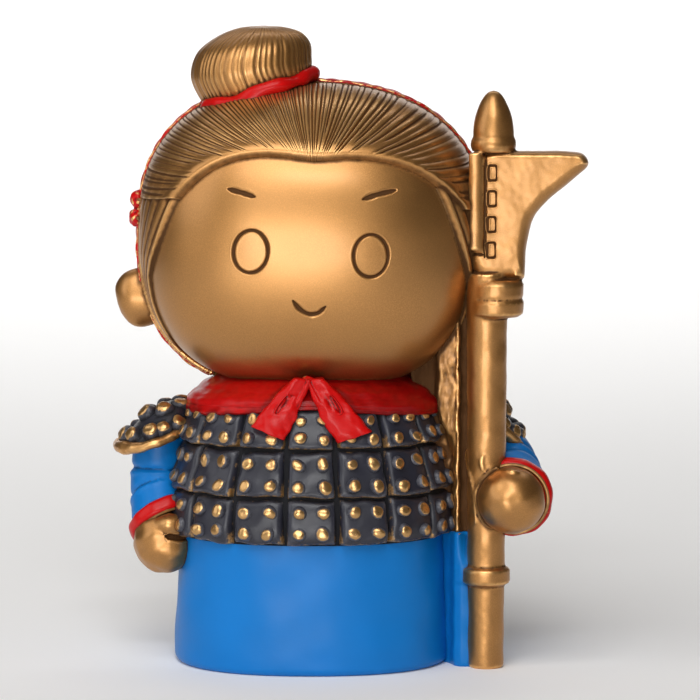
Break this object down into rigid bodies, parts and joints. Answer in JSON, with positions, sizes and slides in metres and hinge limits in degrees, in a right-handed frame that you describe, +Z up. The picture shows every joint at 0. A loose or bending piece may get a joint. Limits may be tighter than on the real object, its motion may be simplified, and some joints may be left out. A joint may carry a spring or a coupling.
{
  "type": "warrior figurine",
  "caption": "Small painted casting of a big-headed palace guard in scale armour, scarf and robe, holding a dagger-axe upright; stands on its own flat underside.",
  "frame": {"origin": "middle of the robe's flat underside, on the surface that the figurine stands on", "axes": "+Z up, -Y the way the figure faces, +X towards its dagger-axe"},
  "size_m": [0.0741, 0.0421, 0.0991],
  "materials": {
    "gold_paint": "satin metallic gold paint on cast resin, brown wash in the recesses",
    "blue_paint": "satin blue paint on cast resin",
    "red_paint": "semi-gloss red paint on cast resin, edges rubbed with gold",
    "iron_paint": "satin blue-black paint on cast resin, high points rubbed with gold"
  },
  "bodies": {
    "root": {"guard_figurine": "gold_paint"}
  },
  "joints": []
}
